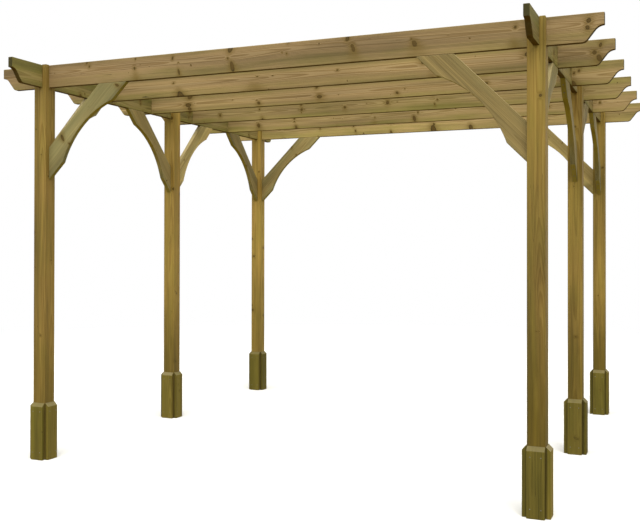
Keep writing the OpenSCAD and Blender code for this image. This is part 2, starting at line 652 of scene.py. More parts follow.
@dataclass(frozen=True)
class ZincFinish:
    """Zinc-plated steel with a dull, faintly mottled skin."""

    name: str = "dull_zinc"
    bright: Colour = srgb(150, 146, 132)
    dull: Colour = srgb(96, 90, 74)
    spots: float = 420.0
    relief: float = 0.0001

    def material(self) -> bpy.types.Material:
        """Builds the material."""
        tree = Shader(bpy.data.materials.new(self.name))
        spots = {"Vector": tree.place, "Scale": self.spots, "Detail": 3.0}
        mottle = Signal(tree, tree.node("ShaderNodeTexNoise", spots).outputs[0])
        colour = tree.blend(mottle.ease(0.35, 0.7), self.bright, self.dull)
        return tree.finish(colour, 0.45 + mottle * 0.3, mottle, self.relief, metallic=0.85)


class Finish(Enum):
    """The finishes, by the record's material slots."""

    POST = "post_wood"
    FOOT = "foot_wood"
    TIMBER = "timber_wood"
    BRACE = "brace_wood"


# ---------------------------------------------------------------- timber


@dataclass(frozen=True)
class LogRange:
    """How far from a stick's own axis the pith may lie.

    Attributes:
        near: Least distance across.
        far: Most distance across.
        spread: Most distance up or down.
    """

    near: float
    far: float
    spread: float


@dataclass(frozen=True)
class LogPlace:
    """Where a stick lay in its log, and how that log looked.

    Attributes:
        start: How far up the log the stick's own origin is.
        pith: The pith's place, from the stick's own axis, across and up.
        tone: How pale the wood is, from 0 to 1.
        sap: How much of the treatment it took, from 0 to 1.
        knots: Where rings of branches cross the stick, if that is known.
        pitch: Distance between those rings up the log.
    """

    STARTS = (5.0, 60.0)  # How far up the log a drawn stick may lie.

    start: float
    pith: Point2
    tone: float
    sap: float
    knots: tuple[float, ...] = ()
    pitch: float = 0.0

    def along(self, place: float) -> float:
        """Finds how far up the log a place on the stick is.

        Args:
            place: Distance along the stick from its own origin.

        Returns:
            The distance, in which known rings of branches stand at whole pitches.
        """
        if not self.knots:
            return self.start + place
        base = round(self.start / self.pitch) * self.pitch
        if place <= self.knots[0]:
            return base + place - self.knots[0]
        for number, (low, high) in enumerate(zip(self.knots, self.knots[1:])):
            if place <= high:
                return base + (number + (place - low) / (high - low)) * self.pitch
        return base + (len(self.knots) - 1) * self.pitch + place - self.knots[-1]

    @classmethod
    def drawn(cls, name: str, pith: LogRange) -> "LogPlace":
        """Draws a place by the name of the stick.

        Args:
            name: The stick's name, which is the seed.
            pith: How far away the pith may lie.

        Returns:
            The same place for the same name each time.
        """
        draw = random.Random(name)
        side = draw.choice((-1.0, 1.0))
        start = draw.uniform(*cls.STARTS)
        across = side * draw.uniform(pith.near, pith.far)
        up = draw.uniform(-pith.spread, pith.spread)
        tone, sap = LOOKS.get(name, (draw.random(), draw.random()))
        return cls(start=start, pith=(across, up), tone=tone, sap=sap)


class Stick:
    """A stick of timber being made: its grain runs along its own X."""

    SHARP = math.radians(24)
    SMOOTH = math.radians(36)
    FLAT = math.radians(1)

    def __init__(self, body: bmesh.types.BMesh | None = None) -> None:
        """Takes a body, or starts an empty one."""
        self.body = body or bmesh.new()

    @classmethod
    def prism(cls, outline: Sequence[Point2], thickness: float) -> "Stick":
        """Cuts a stick to an outline in its X and Z.

        Args:
            outline: Corners of the outline, in order.
            thickness: Thickness along Y, half to each side.

        Returns:
            The stick.
        """
        stick = cls()
        rims = [
            [stick.body.verts.new((x, y, z)) for x, z in outline]
            for y in (-thickness / 2, thickness / 2)
        ]
        stick.body.faces.new(rims[0])
        stick.body.faces.new(reversed(rims[1]))
        for here in range(len(outline)):
            there = (here + 1) % len(outline)
            stick.body.faces.new(
                (rims[0][there], rims[0][here], rims[1][here], rims[1][there])
            )
        bmesh.ops.recalc_face_normals(stick.body, faces=stick.body.faces)
        return stick

    @classmethod
    def stacked(
        cls,
        levels: Sequence[float],
        cuts: Sequence[Sequence[float]],
        filled: Callable[[int, int, int], bool],
    ) -> "Stick":
        """Builds a stick from the cells of a grid.

        Args:
            levels: Where the grid is cut along X.
            cuts: Where it is cut along Y and along Z.
            filled: Tells from three cell numbers whether that cell is wood.

        Returns:
            The stick.
        """
        stick = cls()
        lines = (levels, *cuts)
        corners: dict[tuple[int, int, int], bmesh.types.BMVert] = {}

        def corner(index: tuple[int, int, int]) -> bmesh.types.BMVert:
            """The vertex at one crossing of the grid."""
            if index not in corners:
                corners[index] = stick.body.verts.new(
                    [line[number] for line, number in zip(lines, index)]
                )
            return corners[index]

        def is_wood(cell: Sequence[int]) -> bool:
            """Whether a cell is inside the grid and filled."""
            inside = all(0 <= number < len(line) - 1 for line, number in zip(lines, cell))
            return inside and filled(*cell)

        counts = [range(len(line) - 1) for line in lines]
        for cell in filter(is_wood, product(*counts)):
            for axis, step in product(range(3), (0, 1)):
                beside = list(cell)
                beside[axis] += 2 * step - 1
                if is_wood(beside):
                    continue
                ring = []
                for first, second in ((0, 0), (1, 0), (1, 1), (0, 1)):
                    place = list(cell)
                    place[axis] += step
                    place[(axis + 1) % 3] += first
                    place[(axis + 2) % 3] += second
                    ring.append(corner(tuple(place)))
                stick.body.faces.new(ring if step else ring[::-1])
        bmesh.ops.dissolve_limit(
            stick.body,
            angle_limit=cls.FLAT,
            verts=stick.body.verts,
            edges=stick.body.edges,
        )
        return stick

    def ease(self, width: float, kept: Test | None = None, steps: int = 3) -> "Stick":
        """Rounds the sharp outer edges.

        Args:
            width: How much of each face the rounding takes.
            kept: Tells from the middle of an edge whether it stays sharp.
            steps: Facets across the rounding.

        Returns:
            The stick.
        """
        self.body.normal_update()
        edges = [
            edge
            for edge in self.body.edges
            if edge.is_convex
            and edge.calc_face_angle(0.0) > self.SHARP
            and not (kept and kept((edge.verts[0].co + edge.verts[1].co) / 2))
        ]
        bmesh.ops.bevel(
            self.body,
            geom=edges,
            offset=width,
            segments=steps,
            profile=0.5,
            affect="EDGES",
            clamp_overlap=True,
        )
        return self

    def place(self, matrix: Matrix, log: LogPlace, dirty: Test | None = None) -> "Stick":
        """Writes where the wood lay in its log, then puts the stick in its place.

        Args:
            matrix: The stick's place in the pergola.
            log: Its place in the log.
            darkened: Tells from a point whether painted shade and grime gather there,
                as in the gap where a board meets its post.

        Returns:
            The stick.
        """
        for knot in log.knots:
            geometry = [*self.body.verts, *self.body.edges, *self.body.faces]
            bmesh.ops.bisect_plane(
                self.body, geom=geometry, plane_co=(knot, 0, 0), plane_no=(1, 0, 0)
            )
        if log.knots:
            self._put_in_order()
        self.body.normal_update()
        wood = self.body.verts.layers.float_vector.new("log")
        face_layer = self.body.faces.layers.float_vector.new("face")
        sap_layer = self.body.faces.layers.float.new("sap")
        corner = self.body.verts.layers.float.new("corner")
        for vert in self.body.verts:
            x, y, z = vert.co
            vert[corner] = float(dirty(vert.co)) if dirty else 0.0
            vert[wood] = Vector((log.along(x), y - log.pith[0], z - log.pith[1]))
        ends = {face: abs(face.normal.x) for face in self.body.faces}
        self.body.transform(matrix)
        self.body.normal_update()
        for face in self.body.faces:
            # The normal's height lets the material paint shade on faces that look down and top
            # light on those that look up.
            face[face_layer] = Vector((ends[face], face.normal.z, log.tone))
            face[sap_layer] = log.sap
        return self

    def _put_in_order(self) -> None:
        """Sorts vertices and faces by place, because cuts leave them in any order."""
        places = (
            (self.body.verts, lambda vert: tuple(vert.co)),
            (self.body.faces, lambda face: tuple(face.calc_center_median())),
        )
        for parts, place in places:
            ranks = {part: rank for rank, part in enumerate(sorted(parts, key=place))}
            parts.sort(key=ranks.get)

    @classmethod
    def bundle(cls, sticks: Iterable["Stick"]) -> "Stick":
        """Joins several placed sticks into one."""
        bundle = cls()
        for stick in sticks:
            mesh = mesh_from(stick.body, "loose")
            bundle.body.from_mesh(mesh)
            bpy.data.meshes.remove(mesh)
        return bundle

    def finished(self, name: str, material: bpy.types.Material) -> bpy.types.Object:
        """Turns the stick into an object.

        Args:
            name: The piece's name.
            material: Its finish.

        Returns:
            The object, at the origin.
        """
        mesh = mesh_from(self.body, name)
        mesh.materials.append(material)
        mesh.polygons.foreach_set("use_smooth", [True] * len(mesh.polygons))
        mesh.set_sharp_from_angle(angle=self.SMOOTH)
        piece = add_object(name, mesh)
        flat = piece.modifiers.new("flat faces", "WEIGHTED_NORMAL")
        flat.keep_sharp = True
        flat.weight = 100
        return settle(piece)


def settle(piece: bpy.types.Object) -> bpy.types.Object:
    """Turns an object's evaluated shape into its plain mesh.

    Args:
        piece: An object with modifiers.

    Returns:
        The same object, with none.
    """
    depsgraph = bpy.context.evaluated_depsgraph_get()
    source = piece.data
    mesh = bpy.data.meshes.new_from_object(
        piece.evaluated_get(depsgraph), preserve_all_data_layers=True, depsgraph=depsgraph
    )
    mesh.name = piece.name
    piece.modifiers.clear()
    piece.data = mesh
    if source.users == 0:
        bpy.data.meshes.remove(source)
    return piece


# ---------------------------------------------------------------- geometry nodes


class Maker(Tree):
    """A Geometry Nodes tree, with the same arithmetic as a material's."""

    SOCKETS = {
        float: "NodeSocketFloat",
        int: "NodeSocketInt",
        bpy.types.Material: "NodeSocketMaterial",
        bpy.types.Object: "NodeSocketObject",
    }

    def __init__(self, name: str) -> None:
        """Starts a tree that takes a mesh and gives one back."""
        super().__init__(bpy.data.node_groups.new(name, "GeometryNodeTree"))
        for way in ("INPUT", "OUTPUT"):
            self.tree.interface.new_socket(
                "Geometry", in_out=way, socket_type="NodeSocketGeometry"
            )
        self.settings: dict[str, object] = {}
        self.start = self.node("NodeGroupInput")

    def size(self, name: str, value: object) -> Signal:
        """Adds a named input.

        Args:
            name: The input's name.
            value: What it is set to: a number, a material or an object.

        Returns:
            The input's signal.
        """
        kind = next(kind for sort, kind in self.SOCKETS.items() if isinstance(value, sort))
        socket = self.tree.interface.new_socket(name, in_out="INPUT", socket_type=kind)
        self.settings[socket.identifier] = value
        return Signal(self, self.start.outputs[name])

    def end(self, geometry: bpy.types.NodeSocket, material: Signal) -> None:
        """Ends the tree in plain geometry of one material."""
        real = self.node("GeometryNodeRealizeInstances", {0: geometry}).outputs[0]
        paint = {"Geometry": real, "Material": material}
        painted = self.node("GeometryNodeSetMaterial", paint)
        self.node("NodeGroupOutput", {0: painted.outputs[0]})

    def run(self, name: str, mesh: bpy.types.Mesh) -> bpy.types.Object:
        """Runs the tree on a mesh.

        Args:
            name: Name of the object it makes.
            mesh: The mesh it starts from.

        Returns:
            A plain object with the result.
        """
        piece = add_object(name, mesh)
        modifier = piece.modifiers.new(self.tree.name, "NODES")
        modifier.node_group = self.tree
        for identifier, value in self.settings.items():
            modifier[identifier] = value
        mesh = settle(piece).data
        paint = next(material for material in mesh.materials if material)
        mesh.materials.clear()
        mesh.materials.append(paint)
        mesh.polygons.foreach_set("material_index", [0] * len(mesh.polygons))
        return piece


# ---------------------------------------------------------------- the timbers


@dataclass(frozen=True)
class Timberwork:
    """Places that every timber needs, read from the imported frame.

    Attributes:
        post: Side of a post.
        top: Height of the tops of the posts.
        seat: Height of the undersides of the beams and rafters.
        thickness: Thickness of a beam or rafter.
        depth: Depth of a beam or rafter.
        clearance: Room on each side of a timber in its slot or halving.
        ease: Rounding of the planed edges.
    """

    post: float
    top: float
    seat: float
    thickness: float
    depth: float
    clearance: float = 0.00025
    ease: float = 0.003

    @classmethod
    def read(cls) -> "Timberwork":
        """Reads the sizes from the frame's boxes."""
        post_low, post_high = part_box("post_front_left")
        low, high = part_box("rafter_1")
        return cls(
            post=post_high.x - post_low.x,
            top=post_high.z,
            seat=low.z,
            thickness=high.y - low.y,
            depth=high.z - low.z,
        )

    @property
    def slot(self) -> float:
        """Width of a slot or a halving."""
        return self.thickness + 2 * self.clearance


def plan_middle(node: str, level: float = 0.0) -> Vector:
    """The middle of a node's box in plan, at a level."""
    low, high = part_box(node)
    return Vector(((low.x + high.x) / 2, (low.y + high.y) / 2, level))


def framed(x: Vector, y: Vector, z: Vector, origin: Vector) -> Matrix:
    """A place given by its three axes and its origin."""
    return Matrix([[x[r], y[r], z[r], origin[r]] for r in range(3)] + [[0, 0, 0, 1]])


def arc(centre: Point2, radius: float, first: float, last: float, steps: int) -> list[Point2]:
    """Points along an arc.

    Args:
        centre: Centre of the arc.
        radius: Its radius.
        first: Angle of its first point, in degrees from the first axis.
        last: Angle of its last point.
        steps: How many parts it is cut into.

    Returns:
        The points, both ends among them.
    """
    angles = (math.radians(first + (last - first) * n / steps) for n in range(steps + 1))
    return [
        (centre[0] + radius * math.cos(angle), centre[1] + radius * math.sin(angle))
        for angle in angles
    ]


@dataclass
class Post:
    """A square post with horns round the slots for the roof timbers.

    Attributes:
        node: The CAD node that it stands for.
        work: Places from the frame.
        corner: Whether it is slotted both ways, for a beam and a rafter.
        log: Its place in the log.
    """

    node: str
    work: Timberwork
    corner: bool
    log: LogPlace

    def build(self, material: bpy.types.Material) -> bpy.types.Object:
        """Makes the post.

        Args:
            material: The post's finish.

        Returns:
            The piece.
        """
        low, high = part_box(self.node)
        half, gap = self.work.post / 2, self.work.slot / 2
        grid = (-half, -gap, gap, half)
        stick = Stick.stacked(
            (low.z, self.work.seat, high.z),
            (grid, grid),
            lambda level, across, up: level == 0
            or (across != 1 and (up != 1 or not self.corner)),
        )
        stick.ease(self.work.ease, kept=self._in_slot)
        stand = framed(Z_AXIS, X_AXIS, Y_AXIS, plan_middle(self.node))
        name = self.node.replace("post_", "upright_")
        return stick.place(stand, self.log).finished(name, material)

    def _in_slot(self, middle: Vector) -> bool:
        """Whether an edge belongs to a slot, and so stays as the saw left it."""
        gap = self.work.slot / 2 + HAIR
        in_line = abs(middle.y) < gap or (self.corner and abs(middle.z) < gap)
        return in_line and middle.x > self.work.seat - HAIR


@dataclass(frozen=True)
class Scroll:
    """The scrolled underside of a timber's end.

    Attributes:
        rise: Height of the tip above the underside.
        hollow: Radius of the hollow.
        slope: Angle of the slope, in degrees.
        round: Radius of the round.
        steps: Facets in each curve.
    """

    rise: float = 0.078
    hollow: float = 0.054
    slope: float = 52.0
    round: float = 0.032
    steps: int = 12

    def points(self) -> list[Point2]:
        """Traces the scroll from its tip, at x = 0, to the underside, at z = 0."""
        turn = math.radians(self.slope)
        centre = (0.0, self.rise - self.hollow)
        foot = centre[1] + self.hollow * math.cos(turn)
        corner = self.hollow * math.sin(turn) + foot / math.tan(turn)
        knee = (corner + self.round * math.tan(turn / 2), self.round)
        return arc(centre, self.hollow, 90, 90 - self.slope, self.steps) + arc(
            knee, self.round, 270 - self.slope, 270, self.steps
        )


@dataclass
class RoofTimber:
    """A side beam or a rafter, scrolled at both ends and halved where others cross it.

    Attributes:
        node: The CAD node that it stands for.
        work: Places from the frame.
        scroll: Shape of its ends.
        crossings: Where it is halved, along its length.
        from_below: Whether the halvings open downwards.
        log: Its place in the log.
    """

    node: str
    work: Timberwork
    scroll: Scroll
    crossings: Sequence[float]
    from_below: bool
    log: LogPlace

    def build(self, material: bpy.types.Material) -> bpy.types.Object:
        """Makes the timber.

        Args:
            material: Its finish.

        Returns:
            The piece.
        """
        low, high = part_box(self.node)
        middle = (low + high) / 2
        along_x = high.x - low.x > high.y - low.y
        length = max(high.x - low.x, high.y - low.y)
        stick = Stick.prism(self._outline(length), self.work.thickness)
        stick.ease(self.work.ease, kept=self._in_halving)
        turn = Matrix.Identity(4) if along_x else Matrix.Rotation(QUARTER_TURN, 4, "Z")
        place = Matrix.Translation((middle.x, middle.y, low.z)) @ turn
        log = replace(self.log, pith=(self.log.pith[0], self.log.pith[1] + self.work.depth / 2))
        name = self.node.replace("rafter_", "roof_rafter_").replace("side_", "roof_")
        return stick.place(place, log).finished(name, material)

    def _outline(self, length: float) -> list[Point2]:
        """The timber's side, with its underside at z = 0."""
        half, depth = length / 2, self.work.depth
        scroll = self.scroll.points()
        left = [(x - half, z) for x, z in scroll]
        right = [(half - x, z) for x, z in reversed(scroll)]
        outline = [*left]
        if self.from_below:
            outline += self._halvings(sorted(self.crossings), 0.0)
        outline += [*right, (half, depth)]
        if not self.from_below:
            outline += self._halvings(sorted(self.crossings, reverse=True), depth)
        outline.append((-half, depth))
        return outline

    def _halvings(self, places: Iterable[float], level: float) -> list[Point2]:
        """Corners of the halvings along one edge, in the order of the places."""
        gap, middle = self.work.slot / 2, self.work.depth / 2
        step = gap if self.from_below else -gap
        corners = []
        for place in places:
            corners += [(place - step, level), (place - step, middle)]
            corners += [(place + step, middle), (place + step, level)]
        return corners

    def _in_halving(self, middle: Vector) -> bool:
        """Whether an edge belongs to a halving."""
        gap = self.work.slot / 2 + HAIR
        return any(abs(middle.x - place) < gap for place in self.crossings)


@dataclass(frozen=True)
class BracePattern:
    """The shape of every knee brace, which Geometry Nodes follow.

    Attributes:
        reach: How far it reaches along the timber and down the post.
        width: Width of its board.
        thickness: Thickness of its board.
        ear: Straight stretch of the inner edge at each end.
        scoop: Depth of the scoop in the inner edge.
        steps: Parts along its length, a multiple of ten.
        scooped: Share of those parts that the scoop takes.
    """

    reach: float
    thickness: float
    width: float = 0.138
    ear: float = 0.144
    scoop: float = 0.057
    steps: int = 60
    scooped: float = 0.8

    def maker(self, material: bpy.types.Material) -> Maker:
        """Builds the tree that bends a straight bar into the brace.

        Args:
            material: The brace's finish.

        Returns:
            The tree, with the corner of post and timber at its origin.
        """
        maker = Maker("knee brace")
        reach = maker.size("Reach", self.reach)
        width = maker.size("Board width", self.width)
        thickness = maker.size("Thickness", self.thickness)
        ear = maker.size("Ear", self.ear)
        scoop = maker.size("Scoop", self.scoop)
        steps = maker.size("Steps", self.steps)
        paint = maker.size("Material", material)
        cuts = {"Vertices X": steps + 1.0, "Vertices Y": 2, "Vertices Z": 2}
        bar = maker.node("GeometryNodeMeshCube", {"Size": (1.0, 1.0, 1.0), **cuts})
        along, across, up = maker.split(maker.node("GeometryNodeInputPosition").outputs[0])

        inner = reach / math.sqrt(2)
        chord = inner - ear
        size = abs(along)
        bend = self.scooped / 2
        ears = (size - bend).highest(0.0) / (0.5 - bend) * ear
        inner_along = along.math("SIGN") * (size.lowest(bend) / bend * chord + ears)
        radius = (chord * chord + scoop * scoop) / (scoop * 2.0)
        inside = (radius * radius - inner_along * inner_along).highest(0.0).root()
        depth = (inside - (radius - scoop)).highest(0.0)
        outer = inner - width
        share = up + 0.5
        inner_edge = inner - depth
        placed = maker.join(
            inner_along + (along * 2.0 * outer - inner_along) * share,
            across * thickness,
            -(inner_edge + (outer - inner_edge) * share),
        )
        moved = {"Geometry": bar.outputs["Mesh"], "Position": placed}
        maker.end(maker.node("GeometryNodeSetPosition", moved).outputs[0], paint)
        return maker


@dataclass
class KneeBrace:
    """A brace from a post up to the timber over it.

    Attributes:
        node: The CAD node that it stands for.
        work: Places from the frame.
        pattern: The shape that every brace shares.
        post: The post's place on the ground.
        out: The way it leans out from the post.
        log: Its place in the log.
        screws: How far its screws stand from the ends of its inner edge.
    """

    node: str
    work: Timberwork
    pattern: BracePattern
    post: Vector
    out: Vector
    log: LogPlace
    screws: Point2 = (0.05, 0.105)

    @property
    def frame(self) -> Matrix:
        """The brace's place: X up its board, Z towards the corner."""
        along, rise = (self.out + Z_AXIS).normalized(), (Z_AXIS - self.out).normalized()
        corner = self.post + self.out * (self.work.post / 2) + Z_AXIS * self.work.seat
        return framed(along, Z_AXIS.cross(self.out), rise, corner)

    def build(self, maker: Maker) -> bpy.types.Object:
        """Makes the brace.

        Args:
            maker: The tree that every brace shares.

        Returns:
            The piece.
        """
        rough = maker.run("rough_brace", bpy.data.meshes.new("rough_brace"))
        body = bmesh.new()
        body.from_mesh(rough.data)
        material = rough.data.materials[0]
        bpy.data.objects.remove(rough)
        stick = Stick(body)
        bmesh.ops.remove_doubles(body, verts=body.verts, dist=HAIR)
        bmesh.ops.recalc_face_normals(body, faces=body.faces)
        stick.ease(self.work.ease)
        middle = self.pattern.reach / math.sqrt(2) - self.pattern.width / 2
        log = replace(self.log, pith=(self.log.pith[0], self.log.pith[1] - middle))
        name = self.node.replace("brace_", "knee_brace_")
        return stick.place(self.frame, log).finished(name, material)

    def screw_points(self) -> list[Aim]:
        """Where its screws go in, and which way each head faces."""
        inner = self.pattern.reach / math.sqrt(2)
        frame = self.frame
        out = -(frame.to_3x3() @ Z_AXIS)
        return [
            (frame @ Vector((end * (inner - inset), 0.0, -inner)), out)
            for end in (-1, 1)
            for inset in self.screws
        ]


@dataclass
class FootBoards:
    """Four short boards nailed round the foot of a post.

    Attributes:
        node: The CAD node that they stand for.
        work: Places from the frame.
        thickness: Thickness of a board.
        chamfer: Size of the chamfer along its top outer edge.
        inset: How far each edge stays back from the post's corner.
        ease: Rounding of its sawn edges.
        nail_levels: Heights of its nails, from its foot and down from its top.
        nail_inset: Distance of its nails from the post's corner.
    """

    SLABBED = LogRange(0.02, 0.05, 0.03)  # They come from the log's outside.

    node: str
    work: Timberwork
    thickness: float = 0.024
    chamfer: float = 0.021
    inset: float = 0.001
    ease: float = 0.0018
    nail_levels: Point2 = (0.045, 0.05)
    nail_inset: float = 0.018

    def build(self, material: bpy.types.Material) -> bpy.types.Object:
        """Makes the four boards as one piece."""
        boards = [self._board(turn, frame) for turn, frame in enumerate(self.frames())]
        name = self.node.replace("foot_boards_", "foot_casing_")
        return Stick.bundle(boards).finished(name, material)

    def frames(self) -> list[Matrix]:
        """The place of each board: X up it, Y out from the post, Z along its width."""
        middle = plan_middle(self.node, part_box(self.node)[0].z)
        outs = [Matrix.Rotation(QUARTER_TURN * turn, 3, "Z") @ X_AXIS for turn in range(4)]
        return [
            framed(Z_AXIS, out, Z_AXIS.cross(out), middle + out * (self.work.post / 2))
            for out in outs
        ]

    def _board(self, turn: int, frame: Matrix) -> Stick:
        """One board, in its place."""
        low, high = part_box(self.node)
        height, outer, chamfer = high.z - low.z, self.thickness, self.chamfer
        profile = [(0, 0), (0, outer), (height - chamfer, outer), (height, outer - chamfer)]
        profile.append((height, 0))
        stick = Stick.prism(profile, self.work.post - 2 * self.inset)
        stick.body.transform(framed(X_AXIS, -Z_AXIS, Y_AXIS, Vector()))
        stick.ease(self.ease)
        log = LogPlace.drawn(f"{self.node} {turn}", self.SLABBED)
        # Painted shade, with grime, darkens each board's inner edge, where it meets the post.
        return stick.place(frame, log, dirty=lambda point: point.y < self.ease * 1.5)

    def nail_points(self) -> list[Aim]:
        """Where its nails go in, and which way each head faces."""
        low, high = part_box(self.node)
        levels = (self.nail_levels[0], high.z - low.z - self.nail_levels[1])
        aside = self.work.post / 2 - self.nail_inset
        return [
            (frame @ Vector((level, self.thickness, side * aside)), frame.to_3x3() @ Y_AXIS)
            for frame in self.frames()
            for level in levels
            for side in (-1, 1)
        ]


# ---------------------------------------------------------------- fixings


class Head(Enum):
    """The heads of the fixings.

    Attributes:
        label: The kind's name.
        radius: Radius of the head.
        crown: How far its middle stands proud of its rim.
        recess: Depth of the drive recess, or 0 for a plain head.
    """

    NAIL = ("nail", 0.0032, 0.0005, 0.0)
    SCREW = ("screw", 0.0048, 0.0004, 0.0012)

    def __init__(self, label: str, radius: float, crown: float, recess: float) -> None:
        """Names the numbers of the kind."""
        self.label, self.radius, self.crown, self.recess = label, radius, crown, recess

    def shape(self) -> bpy.types.Object:
        """Turns the head about its axis, with its outer face up.

        Returns:
            An object with the head's closed mesh.
        """
        sides = 18
        plain = [1.0] * sides
        star = [0.30 if side % 3 == 0 else 0.46 for side in range(sides)]
        radius, crown = self.radius, self.crown
        rings = [  # Each ring's outline, its scale and its level, from below upwards.
            (plain, 0.45, -radius * 0.9),
            (plain, 1.0, -crown * 0.6),
            (plain, 0.94, crown * 0.4),
            (plain, 0.72, crown),
        ]
        if self.recess:
            rings += [(star, 1.0, crown * 1.05), (star, 0.9, crown - self.recess)]
        else:
            rings += [(plain, 0.35, crown * 1.1)]
        body = bmesh.new()
        loops = []
        for outline, scale, level in rings:
            loop = []
            for side, reach in enumerate(outline):
                turn, far = math.tau * side / sides, radius * scale * reach
                loop.append(body.verts.new((far * math.cos(turn), far * math.sin(turn), level)))
            loops.append(loop)
        for lower, upper in zip(loops, loops[1:]):
            for side in range(sides):
                after = (side + 1) % sides
                body.faces.new((lower[side], lower[after], upper[after], upper[side]))
        body.faces.new(reversed(loops[0]))
        body.faces.new(loops[-1])
        bmesh.ops.recalc_face_normals(body, faces=body.faces)
        name = f"{self.label}_head"
        return add_object(name, mesh_from(body, name))


@dataclass
class Fixings:
    """Heads of one kind, set by Geometry Nodes at points on the timbers.

    Attributes:
        name: Name of the piece.
        head: The kind of head.
        points: Where they go in, and which way each one faces.
        proud: How far they stand proud of the wood.
        seed: Picks how far each one is turned.
    """

    SHARP = math.radians(40)

    name: str
    head: Head
    points: list[Aim]
    proud: float = 0.0001
    seed: int = 7

    def build(self, material: bpy.types.Material) -> bpy.types.Object:
        """Sets the heads.

        Args:
            material: The heads' finish.

        Returns:
            One piece with every head.
        """
        shape = self.head.shape()
        maker = Maker(f"{self.head.label} heads")
        proud = maker.size("Proud", self.proud)
        seed = maker.size("Seed", self.seed)
        pattern = maker.size("Head", shape)
        paint = maker.size("Material", material)
        named = {"Name": "aim"}
        aim = maker.node("GeometryNodeInputNamedAttribute", named, data_type="FLOAT_VECTOR")
        aim = aim.outputs[0]
        lift = maker.node("ShaderNodeVectorMath", {0: aim, "Scale": proud}, operation="SCALE")
        lifted = {"Geometry": maker.start.outputs["Geometry"], "Offset": lift.outputs[0]}
        raised = maker.node("GeometryNodeSetPosition", lifted)
        facing = maker.node("FunctionNodeAlignRotationToVector", {"Vector": aim}, axis="Z")
        spread = {"Min": 0.0, "Max": math.tau, "Seed": seed}
        spin = maker.node("FunctionNodeRandomValue", spread, data_type="FLOAT")
        drawn = next(out for out in spin.outputs if out.enabled)
        turned = maker.node(
            "FunctionNodeAxisAngleToRotation", {"Axis": (0.0, 0.0, 1.0), "Angle": drawn}
        )
        both = maker.node(
            "FunctionNodeRotateRotation",
            {"Rotation": facing.outputs[0], "Rotate By": turned.outputs[0]},
            rotation_space="LOCAL",
        )
        source = maker.node("GeometryNodeObjectInfo", {"Object": pattern})
        set_out = maker.node(
            "GeometryNodeInstanceOnPoints",
            {
                "Points": raised.outputs[0],
                "Instance": source.outputs["Geometry"],
                "Rotation": both.outputs[0],
            },
        )
        maker.end(set_out.outputs[0], paint)
        mesh = bpy.data.meshes.new(self.name)
        mesh.from_pydata([place for place, _ in self.points], [], [])
        aims = mesh.attributes.new("aim", "FLOAT_VECTOR", "POINT")
        aims.data.foreach_set("vector", [number for _, way in self.points for number in way])
        piece = maker.run(self.name, mesh)
        piece.data.set_sharp_from_angle(angle=self.SHARP)
        bpy.data.objects.remove(shape)
        return piece


# ---------------------------------------------------------------- the pergola


# What each finish looks like. A ring of branches is given in the order of Whorls.
WOODS: dict[Finish, WoodFinish] = {
    Finish.TIMBER: WoodFinish(
        name="planed_roof_timber",
        early=srgb(177, 150, 108),
        late=srgb(128, 99, 55),
        treated=srgb(138, 129, 65),
        shaded=srgb(96, 66, 8),
        damp=srgb(104, 90, 34),
        ring=0.0050,
        contrast=0.62,
        treatment=0.75,
        stain=0.0,
        sawn=0.15,
        whorls=Whorls(0.34, 5, 0.0028, 0.13, 0.25, 0.05, 3.0),
        pins=Whorls(0.21, 2, 0.0012, 0.05, 0.35, 0.16, 11.0),
    ),
    Finish.POST: WoodFinish(
        name="planed_post",
        early=srgb(156, 126, 65),
        late=srgb(120, 88, 34),
        treated=srgb(135, 118, 51),
        shaded=srgb(88, 74, 16),
        damp=srgb(84, 70, 12),
        ring=0.0048,
        contrast=0.52,
        treatment=0.8,
        stain=0.8,
        sawn=0.2,
        whorls=Whorls(0.62, 3, 0.0016, 0.08, 0.3, 0.2, 23.0),
        pins=Whorls(0.27, 2, 0.0010, 0.05, 0.35, 0.2, 31.0),
        heart_radius=0.03,
    ),
    Finish.BRACE: WoodFinish(
        name="sawn_brace",
        early=srgb(155, 136, 86),
        late=srgb(113, 91, 48),
        treated=srgb(133, 125, 82),
        shaded=srgb(168, 146, 54),
        damp=srgb(104, 90, 34),
        ring=0.0052,
        contrast=0.4,
        treatment=0.85,
        stain=0.0,
        sawn=0.25,
        whorls=Whorls(0.52, 4, 0.0024, 0.11, 0.3, 0.1, 43.0),
        pins=Whorls(0.25, 2, 0.0011, 0.05, 0.35, 0.2, 51.0),
    ),
    Finish.FOOT: WoodFinish(
        name="sawn_foot_board",
        early=srgb(142, 122, 56),
        late=srgb(98, 78, 26),
        treated=srgb(112, 104, 36),
        shaded=srgb(70, 60, 16),
        damp=srgb(92, 83, 28),
        ring=0.0055,
        contrast=0.42,
        treatment=0.95,
        stain=0.7,
        sawn=0.6,
        whorls=Whorls(0.6, 3, 0.0024, 0.1, 0.3, 0.2, 63.0),
        pins=Whorls(0.3, 2, 0.0011, 0.05, 0.35, 0.2, 71.0),
    ),
}


# How pale each timber is, and how much of the treatment it took, where that is known.
LOOKS: dict[str, Point2] = {
    # The side beams' low tones partly paint the shade that the rafters cast on their inner faces.
    "side_beam_left": (0.05, 2.2),
    "side_beam_right": (-0.30, 2.0),
    "rafter_4": (0.15, 1.4),
    "rafter_5": (0.75, 0.9),
    "rafter_6": (0.85, 0.3),
    "post_front_right": (0.35, 0.75),
    "post_front_left": (0.25, 0.15),
    "post_middle_left": (1.10, 0.4),
    "post_rear_left": (1.90, 0.2),
    "post_rear_right": (1.00, 0.7),
    "brace_front_left_rafter": (0.85, 2.6),
    "brace_front_right_rafter": (0.40, -0.9),
    "brace_middle_left_rear": (2.40, -0.6),
    "brace_rear_left_rafter": (1.30, 0.6),
    "brace_rear_right_rafter": (2.20, 0.4),
}

